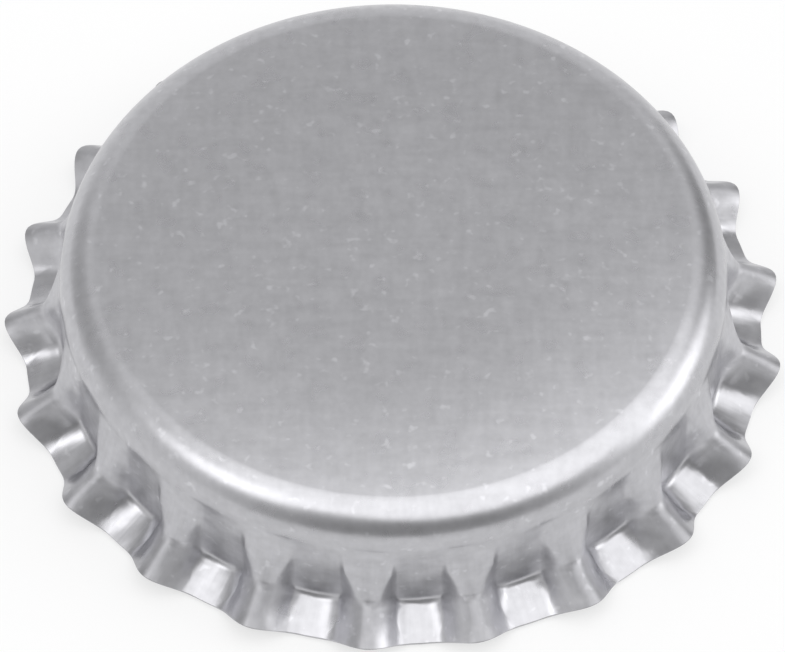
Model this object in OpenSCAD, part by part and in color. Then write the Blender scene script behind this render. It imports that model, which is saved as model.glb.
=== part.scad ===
// Crown cap: a shallow round cap pressed from one tinplate disc, with a fluted
// skirt that is crimped under the bead of a bottle neck, and a moulded sealing
// liner inside the panel.
// Millimetres. Z is the cap's axis, Z = 0 is the plane the rim stands on, and
// the crest of one flute points along -X.

/* [Shell] */
// Height from the rim plane to the top of the panel
cap_h = 6.25; // [5.9:0.05:6.6]
// Thickness of the sheet
sheet_t = 0.24; // [0.2:0.01:0.28]
// Radius of the flat middle of the panel
flat_r = 6; // [2:0.5:7]
// Fall of the panel from its flat middle to the shoulder
panel_fall = 0.18; // [0:0.01:0.25]
// Outer radius of the upright wall
wall_r = 13.6; // [13.5:0.05:13.8]
// Outer radius of the rounded shoulder
shoulder_r = 1.65; // [1.2:0.05:1.8]

/* [Skirt] */
// Number of flutes around the skirt
flutes = 21; // [18:1:24]
// Radius over the crests at the rim
tip_r = 16.05; // [15.8:0.05:16.2]
// Height of the crests' upper edge above the rim plane
tip_z = 1.08; // [1:0.01:1.2]
// Lean of a crest's facet at its lower end, from upright
facet_lean = 29; // [27:1:32]
// Lean of a crest below its facet, from upright
crest_lean = 60; // [58:1:62]
// Height of the bend between a crest's facet and its lower end
bend_z = 1.97; // [1.9:0.01:2.05]
// Rounding of that bend
bend_r = 0.6; // [0.3:0.1:1]
// Radius over the troughs at the rim
rim_r = 15.22; // [14.9:0.02:15.4]
// Height of the crease over the troughs' upper edge
flange_h = 0.69; // [0.5:0.01:0.9]
// Rise of the crease towards the flanks
crease_rise = 0.25; // [0:0.05:0.5]
// Rounding of the crease in the middle of a trough
crease_r = 0.4; // [0.2:0.05:0.6]
// Rounding of the crease at the flanks
crease_side_r = 1.6; // [0.6:0.1:1.8]

/* [Flute section, in flute pitches] */
// Half width of a crest's facet, carried up to the wall
facet_top = 0.39; // [0.36:0.01:0.42]
// Half width of a crest's facet above its bend
facet_end = 0.115; // [0.09:0.005:0.14]
// Fall of a facet from its middle to its edges, as a share of the stand-out
facet_fall = 0.25; // [0:0.05:0.4]
// Half width of the crest below its facet
crest_w = 0.01; // [0.005:0.005:0.03]
// Half width of a crest with its flanks, at the wall
flank_top = 0.29; // [0.285:0.005:0.32]
// Half width of a crest with its flanks, on the flange
flank_mid = 0.24; // [0.22:0.005:0.28]
// Half width of the rounded crests at the rim
rim_w = 0.4; // [0.34:0.01:0.46]
// Rounding of the crests below their facets
crest_soft = 0.06; // [0.055:0.005:0.08]
// Rounding of a facet's edges
edge_soft = 0.035; // [0.02:0.005:0.05]
// Rounding of the troughs above the rim
trough_soft = 0.03; // [0.02:0.005:0.06]

/* [Sealing liner] */
// Outer radius of the liner
liner_r = 12.6; // [12.2:0.05:12.8]
// Thickness of the liner's middle
liner_t = 0.25; // [0.15:0.05:0.4]
// Depth of the sealing bead below the panel
bead_h = 0.95; // [0.6:0.05:1.2]
// Radius of the bead's centre line
bead_r = 11.1; // [10.6:0.1:11.4]
// Width of the bead
bead_w = 2.2; // [1.6:0.1:2.6]
// Depth of the inner lip below the panel
lip_h = 0.6; // [0.4:0.05:0.8]
// Radius of the inner lip's centre line
lip_r = 8.9; // [8.2:0.1:9.2]
// Width of the inner lip
lip_w = 1.4; // [0.8:0.1:1.8]
// Clearance of the liner's edge under the shoulder
liner_gap = 0.05; // [0.03:0.01:0.1]

/* [Hidden] */
$fn = 96;

// Shares of the skirt's length: rows of points, the bend, the place where the
// flanks are narrowest, and the runs over which a facet closes and over which
// the folded crests turn round
rows = [0, 0.2, 0.38, 0.5, 0.57, 0.62, 0.67, 0.75, 0.87, 1];
bend_t = 0.62;
flange_t = 0.74;
close_t = [0.57, 0.68];
round_t = [0.78, 1.08];

// Curve of a facet's edges, 1 for straight, and the least width of a flank
facet_curve = 1.45;
flank_least = 0.02;

// Pitches from the crest between which the crease rises
rise_u = [0.14, 0.39];

// Steps between neighbouring points that give the slope of the skirt
nudge = 0.03;

// Panel and shoulder
shoulder_c = wall_r - shoulder_r;
edge_a = atan(2 * panel_fall / (shoulder_c - flat_r));
edge_r = shoulder_c + shoulder_r * sin(edge_a);
shoulder_z = cap_h - panel_fall - shoulder_r * cos(edge_a);

// Joint of the turned top and the fluted skirt
joint_z = shoulder_z - 0.04;
skirt_z = joint_z - 0.04;
joint_lip = 0.16;
joint_in = 0.03;

// Troughs: the lower edge of the sheet stands on Z = 0
flange_a = atan(flange_h / (rim_r - wall_r));
rim_z = sheet_t * cos(flange_a);
crease_z = rim_z + flange_h;

// Crests: corner of the bend between the facet and the lower end
bend = [tip_r - tan(crest_lean) * (bend_z - tip_z), bend_z];

// Points of an arc about c, from angle a0 to a1, in n steps
function arc(c, r, a0, a1, n) =
    [for (i = [0:n]) let (a = a0 + (a1 - a0) * i / n) c + r * [cos(a), sin(a)]];

// Upper face of the panel at radius r
function panel_z(r) =
    cap_h - panel_fall * pow(max(r - flat_r, 0) / (edge_r - flat_r), 2);

// Arc of radius r that rounds the corner on the wall's line at height z, from
// the wall to the rim of the troughs
function crease(z, r) =
    let (
        a = atan((z - rim_z) / (rim_r - wall_r)),
        c = [wall_r + r, z + r * tan((90 - a) / 2)]
    )
    arc(c, r, 180, 270 - a, 8);

// Points of a crest's facet and of its bend: one arc from the wall to the start
// of the bend, and the arc that rounds the bend
bend_cut = bend_r * tan((crest_lean - facet_lean) / 2);
bend_top = bend + bend_cut * [-sin(facet_lean), cos(facet_lean)];
function crest_facet() =
    let (
        d = bend_top - [wall_r, skirt_z],
        chord = atan(-d[0] / d[1]),
        r = norm(d) / 2 / sin(facet_lean - chord)
    )
    arc(
        bend_top + r * [cos(facet_lean), sin(facet_lean)],
        r, 180 + 2 * chord - facet_lean, 180 + facet_lean, 10
    );
function crest_bend() =
    arc(
        bend_top + bend_r * [cos(facet_lean), sin(facet_lean)],
        bend_r, 180 + facet_lean, 180 + crest_lean, 8
    );

// Profiles from the wall down to the rim, each as two runs that meet in the
// middle of the crease or of the bend
function halves(start, rounding, end) = [
    [each start, for (i = [0:4]) rounding[i]],
    [for (i = [4:8]) rounding[i], end]
];
trough = halves([[wall_r, skirt_z]], crease(crease_z, crease_r), [rim_r, rim_z]);
trough_side = halves(
    [[wall_r, skirt_z]],
    crease(crease_z + crease_rise, crease_side_r),
    [rim_r, rim_z]
);
crest = halves(crest_facet(), crest_bend(), [tip_r, tip_z]);

// Point at the share x of the length of a run of points
function along(p, x) =
    let (
        s = [for (
            i = 0, s = 0;
            i < len(p);
            s = s + norm(p[min(i + 1, len(p) - 1)] - p[i]), i = i + 1
        ) s]
    )
    [for (k = [0, 1]) lookup(x * s[len(s) - 1], [for (i = [0:len(p) - 1]) [s[i], p[i][k]]])];

// Point of a profile at the share t of the skirt
function on(profile, t) = t < bend_t
    ? along(profile[0], t / bend_t)
    : along(profile[1], (t - bend_t) / (1 - bend_t));

// Even step from 0 to 1 while x goes from a to b
function ease(x, a, b) =
    let (v = max(0, min(1, (x - a) / (b - a))))
    v * v * (3 - 2 * v);

// Half widths of a crest's facet, and of the crest with its flanks, at the
// share t of the skirt
function facet(t) =
    let (w = facet_end + (facet_top - facet_end) * pow(max(1 - t / bend_t, 0), facet_curve))
    max(crest_w, min(w, foot(t) - flank_least) * (1 - ease(t, close_t[0], close_t[1])));
function foot(t) = flank_top + (flank_mid - flank_top) * min(t / flange_t, 1);

// How far the skirt stands out from the trough to the crest, 0 to 1, at u
// pitches from the crest
function flank(u, t) =
    let (
        c = facet(t),
        fall = facet_fall * min(c / facet_end, 1),
        round = crest_soft * ease(t, close_t[0], close_t[1]),
        a = sqrt(u * u + round * round) - round,
        side = foot(t) - c,
        fold = a < c ? 1 - fall * pow(a / c, 1.5) : (1 - fall) * (1 - (a - c) / side),
        reach = min(edge_soft, c / 2, side / 2),
        kink = (1 - fall) / side - 1.5 * fall / c,
        v = fold - kink * pow(max(reach - abs(a - c), 0), 2) / 4 / reach,
        soft = trough_soft / side
    )
    (v + sqrt(v * v + soft * soft)) / 2;
function stand_out(u, t) =
    let (
        fold = (flank(u, t) - flank(0.5, t)) / (flank(0, t) - flank(0.5, t)),
        wave = (1 + cos(180 * min(abs(u) / rim_w, 1))) / 2
    )
    fold + ease(t, round_t[0], round_t[1]) * (wave - fold);

// Columns of points of one flute, from a trough to the next, at the share t
function columns(t) =
    let (
        c = max(facet(t), 1.2 * crest_soft),
        b = foot(t),
        fold = [c / 2, c, (b + c) / 2, b, (b + 0.5) / 2],
        even = ease(t, round_t[0], round_t[1]),
        half = [for (i = [0:4]) fold[i] + even * ((i + 1) / 12 - fold[i])]
    )
    [-0.5, for (i = [4:-1:0]) -half[i], 0, each half];

// Outer face of the skirt, and the inner face one sheet thickness behind it
function outer(u, t) =
    let (
        a = 180 + 360 * u / flutes,
        middle = on(trough, t),
        side = on(trough_side, t),
        low = side + ease(abs(u), rise_u[0], rise_u[1]) * (middle - side),
        p = low + stand_out(u, t) * (on(crest, t) - low)
    )
    [p[0] * cos(a), p[0] * sin(a), p[1]];
function inner(u, t) =
    let (
        n = cross(
            outer(u + nudge, t) - outer(u - nudge, t),
            outer(u, min(t + nudge, 1)) - outer(u, max(t - nudge, 0))
        )
    )
    outer(u, t) + sheet_t * n / norm(n);

// Point of the joint's lip, which stands inside the wall of the turned top
function lip(u, r) =
    let (a = 180 + 360 * u / flutes)
    [r * cos(a), r * sin(a), joint_z + joint_lip];

function turn(p, a) =
    [p[0] * cos(a) - p[1] * sin(a), p[0] * sin(a) + p[1] * cos(a), p[2]];

// Fluted skirt: rings of points around the section of the sheet
module skirt() {
    flute = [
        [for (u = columns(0)) lip(u, wall_r - joint_in)],
        for (t = rows) [for (u = columns(t)) outer(u, t)],
        for (i = [len(rows) - 1:-1:0]) [for (u = columns(rows[i])) inner(u, rows[i])],
        [for (u = columns(0)) lip(u, wall_r - sheet_t + joint_in)]
    ];
    per = len(columns(0));
    around = flutes * per;
    rings = len(flute);
    points = [
        for (ring = flute, k = [0:flutes - 1], p = ring) turn(p, 360 * k / flutes)
    ];
    faces = [
        for (m = [0:rings - 1], n = [0:around - 1])
            let (
                m1 = (m + 1) % rings,
                n1 = (n + 1) % around,
                a = m * around + n,
                b = m * around + n1,
                c = m1 * around + n1,
                d = m1 * around + n
            )
            each (n % per < per / 2 ? [[a, b, c], [a, c, d]] : [[a, b, d], [b, c, d]])
    ];
    polyhedron(points, faces);
}

// Panel, shoulder and the upright band above the flutes
module top() {
    step = (edge_r - flat_r) / 6;
    slope = [for (i = [1:6]) flat_r + i * step];
    centre = [shoulder_c, shoulder_z];
    rotate_extrude()
        polygon([
            [0, cap_h],
            [flat_r, cap_h],
            for (r = slope) [r, panel_z(r)],
            each arc(centre, shoulder_r, 84, 0, 14),
            [wall_r, joint_z],
            [wall_r - sheet_t, joint_z],
            each arc(centre, shoulder_r - sheet_t, 0, 84, 14),
            for (i = [5:-1:0]) [slope[i], panel_z(slope[i]) - sheet_t],
            [flat_r, cap_h - sheet_t],
            [0, cap_h - sheet_t]
        ]);
}

module crown_shell() {
    color([0.78, 0.78, 0.79])
        union() {
            top();
            skirt();
        }
}

// Rounded ring that swells from the liner's underside
function swell(r, mid, width, height) =
    let (x = abs(r - mid) / (width / 2))
    x < 1 ? height * sqrt(1 - x * x) : 0;

// Depth of the liner below the panel at radius r
function liner_depth(r) =
    liner_t + max(
        swell(r, bead_r, bead_w, bead_h - liner_t),
        swell(r, lip_r, lip_w, lip_h - liner_t)
    );

module sealing_liner() {
    step = (edge_r - flat_r) / 6;
    slope = [for (i = [1:6]) flat_r + i * step];
    edge_arc = shoulder_r - sheet_t - liner_gap;
    edge_end = acos((liner_r - shoulder_c) / edge_arc);
    base = cap_h - sheet_t;
    color([0.86, 0.87, 0.85])
        rotate_extrude()
            polygon([
                [0, base],
                [flat_r, base],
                for (r = slope) [r, panel_z(r) - sheet_t],
                each arc([shoulder_c, shoulder_z], edge_arc, 80, edge_end, 6),
                for (i = [0:40])
                    let (r = liner_r + (flat_r - liner_r) * i / 40)
                    [r, panel_z(r) - sheet_t - liner_depth(r)],
                [0, base - liner_t]
            ]);
}

crown_shell();
sealing_liner();
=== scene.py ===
"""A crown cap: the fluted tinplate shell, its sealing liner and a plain studio."""
import math
import random

import bmesh
import bpy
from bpy.props import FloatProperty, FloatVectorProperty, IntProperty, PointerProperty
from mathutils import Matrix, Vector


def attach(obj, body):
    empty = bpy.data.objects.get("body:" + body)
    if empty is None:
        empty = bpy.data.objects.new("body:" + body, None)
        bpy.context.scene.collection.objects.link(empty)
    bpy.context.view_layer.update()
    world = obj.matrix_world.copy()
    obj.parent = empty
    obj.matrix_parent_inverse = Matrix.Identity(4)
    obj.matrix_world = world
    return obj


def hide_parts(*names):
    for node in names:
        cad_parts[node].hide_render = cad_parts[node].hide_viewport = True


bl_info = {
    "name": "Crown cap",
    "version": (1, 0, 0),
    "blender": (4, 5, 0),
    "location": "3D View > Sidebar > Crown cap",
    "description": "Builds a fluted crown cap with its sealing liner",
    "category": "Add Mesh",
}

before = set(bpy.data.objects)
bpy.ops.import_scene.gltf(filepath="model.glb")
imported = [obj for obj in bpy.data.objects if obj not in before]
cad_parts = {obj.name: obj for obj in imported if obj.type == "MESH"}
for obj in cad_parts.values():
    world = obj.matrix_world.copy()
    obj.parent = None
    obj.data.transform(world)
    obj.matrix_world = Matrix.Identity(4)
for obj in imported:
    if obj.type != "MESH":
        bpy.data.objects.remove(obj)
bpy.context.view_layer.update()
MM = 0.001
TAU = 2 * math.pi
WHITE = (1, 1, 1, 1)


def length(name, description, default, low=0.0, high=1.0):
    """A size in metres, given in millimetres."""
    return FloatProperty(
        name=name, description=description, default=default * MM, min=low * MM,
        max=high * MM, precision=6, unit="LENGTH",
    )


def share(name, description, default, low=0.0, high=1.0):
    """A plain number, such as a part of a pitch."""
    return FloatProperty(name=name, description=description, default=default, min=low, max=high)


def angle(name, description, default):
    """An angle, given in degrees."""
    return FloatProperty(
        name=name, description=description, default=math.radians(default), subtype="ANGLE",
    )


def colour(name, description, default):
    """A linear colour."""
    return FloatVectorProperty(
        name=name, description=description, default=default, size=3, subtype="COLOR",
        min=0.0, max=1.0,
    )


class ShellSettings(bpy.types.PropertyGroup):
    """Sizes and finish of the pressed shell"""

    height: length("Height", "From the rim plane to the top of the panel", 6.25, 5, 7)
    sheet: length("Sheet", "Thickness of the sheet", 0.24, 0.1, 0.4)
    flat_radius: length("Flat radius", "Radius of the flat middle of the panel", 6, 1, 10)
    panel_fall: length("Panel fall", "Fall of the panel down to the shoulder", 0.18, 0, 0.4)
    wall_radius: length("Wall radius", "Outer radius of the upright wall", 13.6, 12, 15)
    shoulder_radius: length("Shoulder radius", "Outer radius of the shoulder", 1.65, 0.8, 2.5)
    flutes: IntProperty(
        name="Flutes", description="Flutes around the skirt", default=21, min=12, max=30,
    )
    tip_radius: length("Tip radius", "Radius over the crests at the rim", 16.05, 15, 17)
    tip_height: length("Tip height", "Height of the crests at the rim", 1.08, 0.4, 2)
    facet_lean: angle("Facet lean", "Lean of a crest's facet, from upright", 29)
    crest_lean: angle("Crest lean", "Lean of a crest below its facet, from upright", 60)
    bend_height: length("Bend height", "Height of the bend below a facet", 1.97, 1.5, 3)
    bend_radius: length("Bend radius", "Rounding of that bend", 0.6, 0.1, 2)
    rim_radius: length("Rim radius", "Radius over the troughs at the rim", 15.22, 14, 16)
    flange_height: length("Flange height", "Height of the crease over the rim", 0.69, 0.3, 2)
    crease_rise: length("Crease rise", "Rise of the crease towards the flanks", 0.25, 0, 1)
    crease_radius: length("Crease radius", "Rounding of the crease in the middle", 0.4, 0.05, 2)
    crease_side: length("Crease side", "Rounding of the crease at the flanks", 1.6, 0.05, 3)
    facet_top: share("Facet top", "Half width of a facet carried up to the wall, in pitches", 0.39)
    facet_end: share("Facet end", "Half width of a facet above its bend", 0.115)
    facet_curve: share("Facet curve", "Curve of a facet's edges, 1 for straight", 1.45, 0.5, 4)
    facet_fall: share("Facet fall", "Fall of a facet to its edges, of its stand-out", 0.25)
    crest_width: share("Crest width", "Half width of the crest below its facet", 0.01)
    flank_top: share("Flank at the top", "Half width of a crest with its flanks", 0.29)
    flank_middle: share("Flank in the middle", "The same at the flange", 0.24)
    rim_width: share("Crest at the rim", "Half width of the rounded crests at the rim", 0.4)
    crest_soft: share("Crest rounding", "Rounding of the crests below their facets", 0.06)
    edge_soft: share("Edge rounding", "Rounding of a facet's edges", 0.035)
    trough_soft: share("Trough rounding", "Rounding of the troughs", 0.03)
    rim_round: length("Rim rounding", "Rounding of the rim's edges", 0.03, 0, 0.1)
    unevenness: share("Unevenness", "How much the flutes differ from one another", 0.5)
    tin: colour("Tinplate", "Colour of the bare tinplate", (0.5, 0.499, 0.52))
    roughness: share("Roughness", "Roughness of the tinplate", 0.28)


class LinerSettings(bpy.types.PropertyGroup):
    """Sizes and finish of the sealing liner"""

    radius: length("Radius", "Outer radius of the liner", 12.6, 10, 13)
    middle: length("Middle", "Thickness of the liner's middle", 0.25, 0.1, 0.6)
    bead_depth: length("Bead depth", "Depth of the sealing bead below the panel", 0.95, 0.3, 1.5)
    bead_radius: length("Bead radius", "Radius of the bead's centre line", 11.1, 9, 12)
    bead_width: length("Bead width", "Width of the bead", 2.2, 1, 4)
    lip_depth: length("Lip depth", "Depth of the inner lip below the panel", 0.6, 0.2, 1.2)
    lip_radius: length("Lip radius", "Radius of the inner lip's centre line", 8.9, 6, 10)
    lip_width: length("Lip width", "Width of the inner lip", 1.4, 0.5, 3)
    gap: length("Gap", "Clearance of the edge under the shoulder", 0.05, 0.01, 0.3)
    compound: colour("Compound", "Colour of the moulded liner", (0.7, 0.71, 0.69))


# The studio: azimuth and elevation of a lamp's middle, the angles from there
# where it is full and where it ends, and its level. Later ones lie over earlier.
LAMPS = (
    (152, 26, 10, 36, 0.55),
    (34, 14, 11, 37, 0.34),
    (-83, 12, 22, 70, 0.36),
    (82, 60, 3, 34, 0.42),
    (-26, 75, 32, 42, 1.74),
    (-149, 52, 7, 23, 2.55),
    (5, 21, 2, 30, 2.75),
)


class StageSettings(bpy.types.PropertyGroup):
    """The floor, the light and the camera"""

    floor_size: length("Floor", "Half the floor's width", 900, 100, 2000)
    floor_colour: colour("Floor colour", "Colour of the floor", (0.3, 0.3, 0.3))
    floor_glow: share("Floor glow", "Light added to the floor where it is seen", 0.64)
    room: share("Room", "Level of the room's light between the lamps", 0.9)
    elevation: FloatProperty(
        name="Elevation", description="Camera's height above the horizon",
        default=0.947728, subtype="ANGLE",
    )
    distance: length("Distance", "From the camera to the cap", 227.087, 50, 1000)
    aim_x: length("Aim across", "Camera's place to the right of the cap", -0.0407, -10, 10)
    aim_up: length("Aim up", "Camera's place up the picture from the cap", 0.4224, -10, 10)
    lens: FloatProperty(
        name="Lens", description="Focal length in millimetres", default=251.58, unit="CAMERA",
    )


class Wire:
    """A shader value. Arithmetic on it adds Math nodes."""

    def __init__(self, graph, socket):
        self.graph = graph
        self.socket = socket

    def maths(self, operation, other=0.0):
        """A Math node of this value and another."""
        return self.graph.node("ShaderNodeMath", {"operation": operation}, {0: self, 1: other})

    def __add__(self, other):
        return self.maths("ADD", other)

    __radd__ = __add__

    def __sub__(self, other):
        return self.maths("SUBTRACT", other)

    def __rsub__(self, other):
        return self.graph.node("ShaderNodeMath", {"operation": "SUBTRACT"}, {0: other, 1: self})

    def __mul__(self, other):
        return self.maths("MULTIPLY", other)

    __rmul__ = __mul__

    def at(self, name):
        """Another output of the same node."""
        return Wire(self.graph, self.socket.node.outputs[name])


class Graph:
    """The node tree of a material or of the world."""

    def __init__(self, owner):
        owner.use_nodes = True
        self.tree = owner.node_tree
        self.tree.nodes.clear()

    def node(self, kind, settings=None, sockets=None):
        """Adds a node, sets it up and links or sets its sockets. Returns its first output."""
        node = self.tree.nodes.new(kind)
        for key, value in (settings or {}).items():
            setattr(node, key, value)
        for key, value in (sockets or {}).items():
            if isinstance(value, Wire):
                self.tree.links.new(value.socket, node.inputs[key])
            else:
                node.inputs[key].default_value = value
        return Wire(self, node.outputs[0]) if node.outputs else None

    def place(self, stretch=(1, 1, 1), place=(0, 0, 0)):
        """Object coordinates, stretched and moved."""
        coordinates = self.node("ShaderNodeTexCoord").at("Object")
        return self.node("ShaderNodeMapping", None, {
            "Vector": coordinates, "Scale": stretch, "Location": place,
        })

    def span(self, value, start, end):
        """Even step from 0 to 1 while a value goes from start to end."""
        return self.node(
            "ShaderNodeMapRange", {"interpolation_type": "SMOOTHSTEP"},
            {"Value": value, "From Min": start, "From Max": end},
        )

    def noise(self, pitch, detail, roughness=0.5, at=None, **where):
        """Noise from 0 to 1 in object space or at a vector; pitch in waves a metre."""
        return self.node("ShaderNodeTexNoise", None, {
            "Vector": at or self.place(**where),
            "Scale": pitch, "Detail": detail, "Roughness": roughness,
        })


def arc(centre, radius, start, end, steps):
    """Points of an arc, angles in degrees."""
    points = []
    for i in range(steps + 1):
        angle = math.radians(start + (end - start) * i / steps)
        points.append(Vector((
            centre[0] + radius * math.cos(angle), centre[1] + radius * math.sin(angle),
        )))
    return points


def ease(x, start, end):
    """Even step from 0 to 1 while x goes from start to end."""
    v = max(0.0, min(1.0, (x - start) / (end - start)))
    return v * v * (3 - 2 * v)


class Profile:
    """A line of points in two runs, which meet in the middle of a rounding."""

    def __init__(self, start, rounding, end):
        middle = len(rounding) // 2
        self.runs = [
            self.measured(start + rounding[:middle + 1]),
            self.measured(rounding[middle:] + [end]),
        ]

    @staticmethod
    def measured(points):
        """Points and how far along the run each of them lies."""
        run = [0.0]
        for a, b in zip(points, points[1:]):
            run.append(run[-1] + (b - a).length)
        return points, run

    def at(self, t):
        """Point at the share t of the skirt."""
        if t < BEND_AT:
            (points, run), part = self.runs[0], t / BEND_AT
        else:
            (points, run), part = self.runs[1], (t - BEND_AT) / (1 - BEND_AT)
        goal = part * run[-1]
        i = 0
        while i < len(points) - 2 and run[i + 1] < goal:
            i += 1
        return points[i].lerp(points[i + 1], (goal - run[i]) / (run[i + 1] - run[i]))


# Shares of the skirt: the bend, the place where the flanks are narrowest, and
# the run over which a facet closes. Then the pitches over which the crease rises,
# and the shares over which the folded crests turn round.
BEND_AT = 0.62
FLANGE_AT = 0.74
CLOSE = (0.57, 0.68)
RISE = (0.14, 0.39)
ROUND = (0.78, 1.08)

# Least width of a flank beside its facet, and the gaps between the mesh columns
# on both sides of a facet's edge and of a flank's foot, in pitches
FLANK_LEAST = 0.05
EDGE_GAP = 0.012
FOOT_GAP = 0.04

# Power by which a facet falls towards its edges
FACET_BOW = 1.5

# From the end of the shoulder's arc down to the skirt's first row
SKIRT_DROP = 0.08 * MM

# Mesh columns of half a flute, and the rows of the skirt, closer at the bend
HALF_COLUMNS = 12
ROWS = (
    [i / 12 * 0.5 for i in range(12)]
    + [0.5 + i / 24 * 0.3 for i in range(24)]
    + [0.8 + i / 8 * 0.2 for i in range(9)]
)


class CapForm:
    """The outer face of the shell, from its driving sizes."""

    def __init__(self, s):
        self.s = s
        self.shoulder_c = s.wall_radius - s.shoulder_radius
        edge = math.atan(2 * s.panel_fall / (self.shoulder_c - s.flat_radius))
        self.edge_r = self.shoulder_c + s.shoulder_radius * math.sin(edge)
        self.shoulder_z = s.height - s.panel_fall - s.shoulder_radius * math.cos(edge)
        self.skirt_z = self.shoulder_z - SKIRT_DROP
        top = Vector((s.wall_radius, self.skirt_z))
        flange = math.atan(s.flange_height / (s.rim_radius - s.wall_radius))
        self.rim_z = s.sheet * math.cos(flange)
        rim = Vector((s.rim_radius, self.rim_z))
        crease_z = self.rim_z + s.flange_height
        self.middle = Profile([top], self.crease(crease_z, s.crease_radius), rim)
        self.side = Profile([top], self.crease(crease_z + s.crease_rise, s.crease_side), rim)
        self.crest = self.crest_profile()

    def panel_z(self, r):
        """Height of the panel's top: flat in the middle, then falling."""
        fall = max(r - self.s.flat_radius, 0) / (self.edge_r - self.s.flat_radius)
        return self.s.height - self.s.panel_fall * fall ** 2

    def crease(self, z, radius):
        """Rounds the corner on the wall's line at height z, down to the rim."""
        s = self.s
        slope = math.atan((z - self.rim_z) / (s.rim_radius - s.wall_radius))
        centre = (s.wall_radius + radius, z + radius * math.tan((math.pi / 2 - slope) / 2))
        return arc(centre, radius, 180, 270 - math.degrees(slope), 12)

    def crest_profile(self):
        """Arc off the wall, straight facet, bend, and the straight end."""
        s = self.s
        lean, steep = s.facet_lean, s.crest_lean
        bend = Vector((
            s.tip_radius - math.tan(steep) * (s.bend_height - s.tip_height), s.bend_height,
        ))
        off = s.bend_radius * math.tan((steep - lean) / 2)
        start = bend + off * Vector((-math.sin(lean), math.cos(lean)))
        centre = start + s.bend_radius * Vector((math.cos(lean), math.sin(lean)))
        top = Vector((s.wall_radius, self.skirt_z))
        chord = math.atan2(start.x - top.x, top.y - start.y)
        facet_r = (start - top).length / 2 / math.sin(lean - chord)
        hub = start + facet_r * Vector((math.cos(lean), math.sin(lean)))
        return Profile(
            arc(hub, facet_r, 180 + math.degrees(2 * chord - lean), 180 + math.degrees(lean), 16),
            arc(centre, s.bend_radius, 180 + math.degrees(lean), 180 + math.degrees(steep), 12),
            Vector((s.tip_radius, s.tip_height)),
        )

    def facet(self, t):
        """Half width of a crest's facet, in pitches; it closes at the bend."""
        s = self.s
        widen = max(1 - t / BEND_AT, 0) ** s.facet_curve
        width = s.facet_end + (s.facet_top - s.facet_end) * widen
        return max(s.crest_width, min(width, self.foot(t) - FLANK_LEAST) * (1 - ease(t, *CLOSE)))

    def foot(self, t):
        """Pitches from the crest to the foot of its flank."""
        s = self.s
        return s.flank_top + (s.flank_middle - s.flank_top) * min(t / FLANGE_AT, 1)

    def flank(self, u, t):
        """Height of the folded section: a bowed facet, a straight flank, a rounded foot."""
        s = self.s
        c, b = self.facet(t), self.foot(t)
        fall = s.facet_fall * min(c / s.facet_end, 1)
        soft = s.crest_soft * ease(t, *CLOSE)
        off = math.hypot(u, soft) - soft
        if off < c:
            v = 1 - fall * (off / c) ** FACET_BOW
        else:
            v = (1 - fall) * (1 - (off - c) / (b - c))
        reach = min(s.edge_soft, c / 2, (b - c) / 2)
        turn = (1 - fall) / (b - c) - FACET_BOW * fall / c
        v -= turn * max(reach - abs(off - c), 0) ** 2 / 4 / reach
        return (v + math.hypot(v, s.trough_soft / (b - c))) / 2

    def stand_out(self, u, t):
        """From 0 in a trough to 1 on a crest: folded above, round at the rim."""
        low = self.flank(0.5, t)
        fold = (self.flank(u, t) - low) / (self.flank(0, t) - low)
        wave = (1 + math.cos(math.pi * min(abs(u) / self.s.rim_width, 1))) / 2
        return fold + ease(t, *ROUND) * (wave - fold)

    def skirt(self, u, t, sag=0.0):
        """Radius and height at u pitches from a crest and the share t of the skirt."""
        side = self.side.at(t)
        low = side + ease(abs(u), *RISE) * (self.middle.at(t) - side)
        return low + self.stand_out(u, t) * (1 - sag) * (self.crest.at(t) - low)

    def columns(self, t):
        """Pitches from the crest at which half a flute has its mesh columns."""
        c, b = max(self.facet(t), 1.2 * self.s.crest_soft), self.foot(t)
        edge = min(EDGE_GAP, (b - c) / 8, c / 5)
        toe = min(FOOT_GAP, (b - c) / 4)
        folded = [
            0, 0.35 * c, 0.7 * c, c - edge, c + edge, c + (b - c) * 0.36, c + (b - c) * 0.64,
            b - toe, b - toe / 3, b + toe / 3, b + toe, (b + toe + 0.5) / 2, 0.5,
        ]
        even = ease(t, *ROUND)
        return [u + even * (i / 2 / HALF_COLUMNS - u) for i, u in enumerate(folded)]


def spin_profile(bm, verts, steps):
    """Turns a line of vertices once round the Z axis."""
    edges = [bm.edges.new(pair) for pair in zip(verts, verts[1:])]
    bmesh.ops.spin(
        bm, geom=verts + edges, cent=(0, 0, 0), axis=(0, 0, 1), angle=TAU, steps=steps,
        use_merge=True, use_duplicate=False,
    )
    bmesh.ops.remove_doubles(bm, verts=bm.verts, dist=1e-7)
    bmesh.ops.recalc_face_normals(bm, faces=bm.faces)


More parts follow.
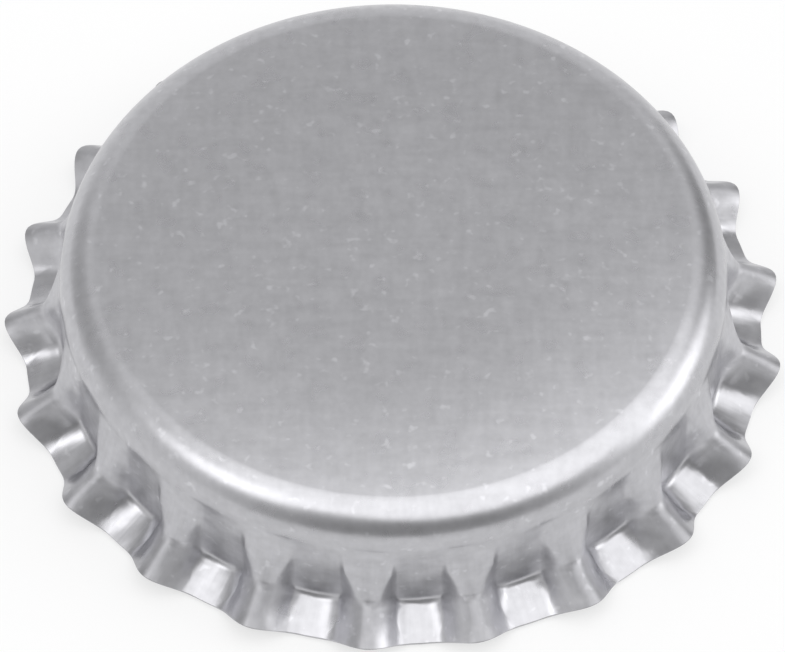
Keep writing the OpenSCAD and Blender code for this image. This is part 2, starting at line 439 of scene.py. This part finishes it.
def flute(bm, form):
    """Moves the turned skirt's vertices out to the flutes, each a little uneven."""
    s = form.s
    dice = random.Random(5)
    most = 0.05
    leans = [dice.uniform(-most, most) * s.unevenness for _ in range(s.flutes)]
    sags = [dice.uniform(0, most) * s.unevenness for _ in range(s.flutes)]
    layer = bm.verts.layers.float["part"]
    rows = {}
    for vert in bm.verts:
        if vert[layer] >= 0:
            rows.setdefault(round(vert[layer], 6), []).append(vert)
    for t, verts in rows.items():
        columns = form.columns(t)
        follow = ease(t, 0, 0.2)
        for vert in verts:
            turns = (math.atan2(vert.co.y, vert.co.x) - math.pi) / TAU * s.flutes
            crest = round(turns)
            step = round((turns - crest) * 2 * HALF_COLUMNS)
            u = math.copysign(columns[abs(step)], step) * follow + (turns - crest) * (1 - follow)
            p = form.skirt(u, t, sags[crest] * t)
            lean = leans[crest] * t * (1 - 4 * u * u)
            around = math.pi + TAU * (crest + u + lean) / s.flutes
            vert.co = (p.x * math.cos(around), p.x * math.sin(around), p.y)
    bmesh.ops.recalc_face_normals(bm, faces=bm.faces)


def into_scene(bm, name, material):
    """A new object at the origin, with smooth faces."""
    for face in bm.faces:
        face.smooth = True
    mesh = bpy.data.meshes.new(name)
    bm.to_mesh(mesh)
    bm.free()
    mesh.materials.append(material)
    piece = bpy.data.objects.new(name, mesh)
    bpy.context.scene.collection.objects.link(piece)
    return piece


def tinplate(settings):
    """Matt rolled tinplate: a fine crossed grain, mottling, bright specks and draw marks, with a
    painted reflection lightening the walls and a painted shade on the crests.
    """
    material = bpy.data.materials.new("tinplate")
    g = Graph(material)
    along = g.noise(2400, 1, stretch=(0.2, 1, 1)) - 0.5
    across = g.noise(2400, 1, stretch=(1, 0.2, 1)) - 0.5
    fine = g.noise(3400, 1) - 0.5
    cloud = g.noise(1100, 1) - 0.5
    speck = g.span(g.noise(2300, 1.5, place=(7, 3, 1)), 0.62, 0.78)

    # The drawn skirt, with marks that run down it, and its walls above the rim, which a painted
    # reflection lightens
    axes = g.node("ShaderNodeSeparateXYZ", None, {0: g.node("ShaderNodeTexCoord").at("Object")})
    height = axes.at("Z")
    drawn = g.span(height, 4.5 * MM, 3.7 * MM)
    wall = drawn * g.span(height, 1.0 * MM, 1.5 * MM)
    angle = axes.at("Y").maths("ARCTAN2", axes)
    around = g.node("ShaderNodeCombineXYZ", None, {
        0: angle * settings.wall_radius, 1: height * 0.12, 2: 0.0,
    })
    streaks = g.noise(2600, 3, roughness=0.6, at=around) - 0.5
    dents = g.noise(750, 1) - 0.5

    # The crests below their facets: a rougher finish, and a painted shade that darkens their
    # colour to dim their highlights
    turns = (angle - math.pi) * (settings.flutes / TAU)
    off_crest = turns.maths("PINGPONG", 0.5)
    rough_and_shaded_crests = g.span(off_crest, 0.16, 0.05) * g.span(height, 2.1 * MM, 1.8 * MM)

    grain = (along + across) * 0.13 + fine * 0.14 + cloud * 0.09
    # The walls above the rim are lightened, a painted reflection; the drawn skirt is a little
    # darker; the crests below their facets are darkened, a painted shade; the streaks are draw
    # marks
    wear_and_painted_light = wall * 0.1 - drawn * 0.03 - rough_and_shaded_crests * 0.2 + drawn * streaks * 0.25
    tone = (1.0 + grain + speck * 0.2) * (1.0 + wear_and_painted_light)
    tin = g.node(
        "ShaderNodeMix", {"data_type": "RGBA", "blend_type": "MULTIPLY"},
        {0: 1.0, 6: (*settings.tin, 1), 7: tone},
    ).at(2)
    roughness = settings.roughness + cloud * 0.04 + rough_and_shaded_crests * 0.15 + wall * 0.14
    relief = (along + across) * 0.0016 + cloud * 0.0018 + drawn * (dents * 0.06 + streaks * 0.008)
    bump = g.node("ShaderNodeBump", None, {"Strength": 1.0, "Distance": MM, "Height": relief})
    shader = g.node("ShaderNodeBsdfPrincipled", None, {
        "Base Color": tin, "Metallic": 1.0, "Roughness": roughness, "Normal": bump,
    })
    g.node("ShaderNodeOutputMaterial", None, {"Surface": shader})
    return material


def liner_compound(settings):
    """Soft moulded sealing compound."""
    material = bpy.data.materials.new("liner_compound")
    g = Graph(material)
    grain = g.noise(2500, 3)
    cloud = g.noise(260, 2)
    bump = g.node("ShaderNodeBump", None, {
        "Strength": 0.2, "Distance": 0.02 * MM, "Height": grain,
    })
    shader = g.node("ShaderNodeBsdfPrincipled", None, {
        "Base Color": (*settings.compound, 1),
        "Roughness": 0.42 + (cloud - 0.5) * 0.1,
        "Normal": bump,
    })
    g.node("ShaderNodeOutputMaterial", None, {"Surface": shader})
    return material


class CROWNCAP_OT_shell(bpy.types.Operator):
    """Builds the pressed shell with its fluted skirt"""

    bl_idname = "crown_cap.shell"
    bl_label = "Crown shell"

    def execute(self, context):
        s = context.scene.crown_cap_shell
        form = CapForm(s)
        bm = bmesh.new()
        part = bm.verts.layers.float.new("part")
        flat = [0.0, 1.5 * MM, 3 * MM, 4.5 * MM]
        slope = [s.flat_radius + (form.edge_r - s.flat_radius) * i / 8 for i in range(9)]
        verts = [bm.verts.new((-r, 0, form.panel_z(r))) for r in flat + slope]
        # The panel ends near 87 degrees of this arc, whose own points start below that
        for p in arc((form.shoulder_c, form.shoulder_z), s.shoulder_radius, 84, 0, 16):
            verts.append(bm.verts.new((-p.x, 0, p.y)))
        for vert in verts:
            vert[part] = -1
        for t in ROWS:
            p = form.middle.at(t)
            vert = bm.verts.new((-p.x, 0, p.y))
            vert[part] = t
            verts.append(vert)
        spin_profile(bm, verts, s.flutes * 2 * HALF_COLUMNS)
        flute(bm, form)
        piece = into_scene(bm, "shell", tinplate(s))
        wall = piece.modifiers.new("sheet", "SOLIDIFY")
        wall.thickness = s.sheet
        wall.offset = -1
        wall.use_even_offset = True
        # The angle limit picks out the cut edge of the sheet
        rim = piece.modifiers.new("rim", "BEVEL")
        rim.width = s.rim_round
        rim.segments = 2
        rim.limit_method = "ANGLE"
        rim.angle_limit = math.radians(70)
        rim.harden_normals = True
        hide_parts("crown_shell")
        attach(piece, "root")
        return {"FINISHED"}


class CROWNCAP_OT_liner(bpy.types.Operator):
    """Builds the moulded sealing liner"""

    bl_idname = "crown_cap.liner"
    bl_label = "Sealing liner"

    def execute(self, context):
        shell = context.scene.crown_cap_shell
        s = context.scene.crown_cap_liner
        form = CapForm(shell)
        bm = bmesh.new()

        def swell(r, middle, width, height):
            """A ring's half-round section."""
            x = abs(r - middle) / (width / 2)
            return height * math.sqrt(1 - x * x) if x < 1 else 0.0

        def over(r):
            """Height of the face that lies under the panel."""
            return form.panel_z(r) - shell.sheet

        def under(r):
            """Height of the face that the bottle meets."""
            rings = (
                swell(r, s.bead_radius, s.bead_width, s.bead_depth - s.middle),
                swell(r, s.lip_radius, s.lip_width, s.lip_depth - s.middle),
            )
            return over(r) - s.middle - max(rings)

        inner = (0.0, 2 * MM, 4 * MM)
        points = [(r, over(r)) for r in inner]
        steps = 6
        span = form.edge_r - shell.flat_radius
        for i in range(steps + 1):
            r = shell.flat_radius + span * i / steps
            points.append((r, over(r)))
        edge = shell.shoulder_radius - shell.sheet - s.gap
        end = math.degrees(math.acos((s.radius - form.shoulder_c) / edge))
        points += [tuple(p) for p in arc((form.shoulder_c, form.shoulder_z), edge, 80, end, 6)]
        rows = 60
        for i in range(rows + 1):
            r = s.radius + (shell.flat_radius - s.radius) * i / rows
            points.append((r, under(r)))
        points += [(r, under(r)) for r in reversed(inner)]
        spin_profile(bm, [bm.verts.new((-r, 0, z)) for r, z in points], 192)
        piece = into_scene(bm, "liner", liner_compound(s))
        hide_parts("sealing_liner")
        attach(piece, "root")
        return {"FINISHED"}


class CROWNCAP_OT_stage(bpy.types.Operator):
    """Sets up the floor, the studio light and the camera"""

    bl_idname = "crown_cap.stage"
    bl_label = "Stage"

    def execute(self, context):
        s = context.scene.crown_cap_stage
        self.floor(s)
        self.light(context, s)
        self.camera(context, s)
        context.scene.view_settings.view_transform = "Standard"
        return {"FINISHED"}

    def floor(self, s):
        bm = bmesh.new()
        bmesh.ops.create_grid(bm, x_segments=1, y_segments=1, size=s.floor_size)
        material = bpy.data.materials.new("floor")
        g = Graph(material)
        base = g.node("ShaderNodeBsdfDiffuse", None, {"Color": (*s.floor_colour, 1)})
        glow = g.node("ShaderNodeEmission", None, {"Color": WHITE, "Strength": s.floor_glow})
        both = g.node("ShaderNodeAddShader", None, {0: base, 1: glow})
        seen = self.seen(g)
        mix = g.node("ShaderNodeMixShader", None, {0: seen, 1: base, 2: both})
        g.node("ShaderNodeOutputMaterial", None, {"Surface": mix})
        into_scene(bm, "floor", material)

    @staticmethod
    def seen(g):
        """1 where the camera, a reflection or a see-through piece looks at the floor."""
        path = g.node("ShaderNodeLightPath")
        either = path.at("Is Camera Ray").maths("MAXIMUM", path.at("Is Glossy Ray"))
        return either.maths("MAXIMUM", path.at("Is Transmission Ray"))

    def light(self, context, s):
        world = bpy.data.worlds.new("studio")
        context.scene.world = world
        g = Graph(world)
        direction = g.node("ShaderNodeTexCoord").at("Generated")
        level = s.room
        for azimuth, elevation, inner, outer, strength in LAMPS:
            a, e = math.radians(azimuth), math.radians(elevation)
            towards = (math.cos(e) * math.cos(a), math.cos(e) * math.sin(a), math.sin(e))
            dot = g.node(
                "ShaderNodeVectorMath", {"operation": "DOT_PRODUCT"}, {0: direction, 1: towards},
            ).at("Value")
            off = dot.maths("ARCCOSINE")
            lit = g.span(off, math.radians(outer), math.radians(inner))
            level = level + lit * (strength - level)
        room = g.node("ShaderNodeBackground", None, {"Color": level, "Strength": 1.0})
        white = g.node("ShaderNodeBackground", None, {"Color": WHITE, "Strength": 1.0})
        path = g.node("ShaderNodeLightPath").at("Is Camera Ray")
        mix = g.node("ShaderNodeMixShader", None, {0: path, 1: room, 2: white})
        g.node("ShaderNodeOutputWorld", None, {"Surface": mix})

    def camera(self, context, s):
        back = Vector((0, -math.cos(s.elevation), math.sin(s.elevation)))
        right = Vector((1, 0, 0))
        up = back.cross(right)
        data = bpy.data.cameras.new("camera")
        data.lens = s.lens
        data.sensor_width = 36
        data.clip_start = 0.01
        place = Matrix((right, up, back)).transposed().to_4x4()
        place.translation = back * s.distance + right * s.aim_x + up * s.aim_up
        camera = bpy.data.objects.new("camera", data)
        camera.matrix_world = place
        context.scene.collection.objects.link(camera)
        context.scene.camera = camera


class CROWNCAP_PT_sidebar(bpy.types.Panel):
    """Buttons for the pieces and their sizes"""

    bl_idname = "CROWNCAP_PT_sidebar"
    bl_label = "Crown cap"
    bl_space_type = "VIEW_3D"
    bl_region_type = "UI"
    bl_category = "Crown cap"

    def draw(self, context):
        for operator, settings in (
            (CROWNCAP_OT_shell, context.scene.crown_cap_shell),
            (CROWNCAP_OT_liner, context.scene.crown_cap_liner),
            (CROWNCAP_OT_stage, context.scene.crown_cap_stage),
        ):
            box = self.layout.box()
            box.operator(operator.bl_idname)
            for key in settings.__annotations__:
                box.prop(settings, key)


CLASSES = (
    ShellSettings, LinerSettings, StageSettings,
    CROWNCAP_OT_shell, CROWNCAP_OT_liner, CROWNCAP_OT_stage, CROWNCAP_PT_sidebar,
)
GROUPS = {
    "crown_cap_shell": ShellSettings,
    "crown_cap_liner": LinerSettings,
    "crown_cap_stage": StageSettings,
}


def register():
    for cls in CLASSES:
        bpy.utils.register_class(cls)
    for name, group in GROUPS.items():
        setattr(bpy.types.Scene, name, PointerProperty(type=group))


def unregister():
    for name in GROUPS:
        delattr(bpy.types.Scene, name)
    for cls in reversed(CLASSES):
        bpy.utils.unregister_class(cls)


def main():
    register()
    bpy.ops.crown_cap.shell()
    bpy.ops.crown_cap.liner()
    bpy.ops.crown_cap.stage()


if __name__ == "__main__":
    main()
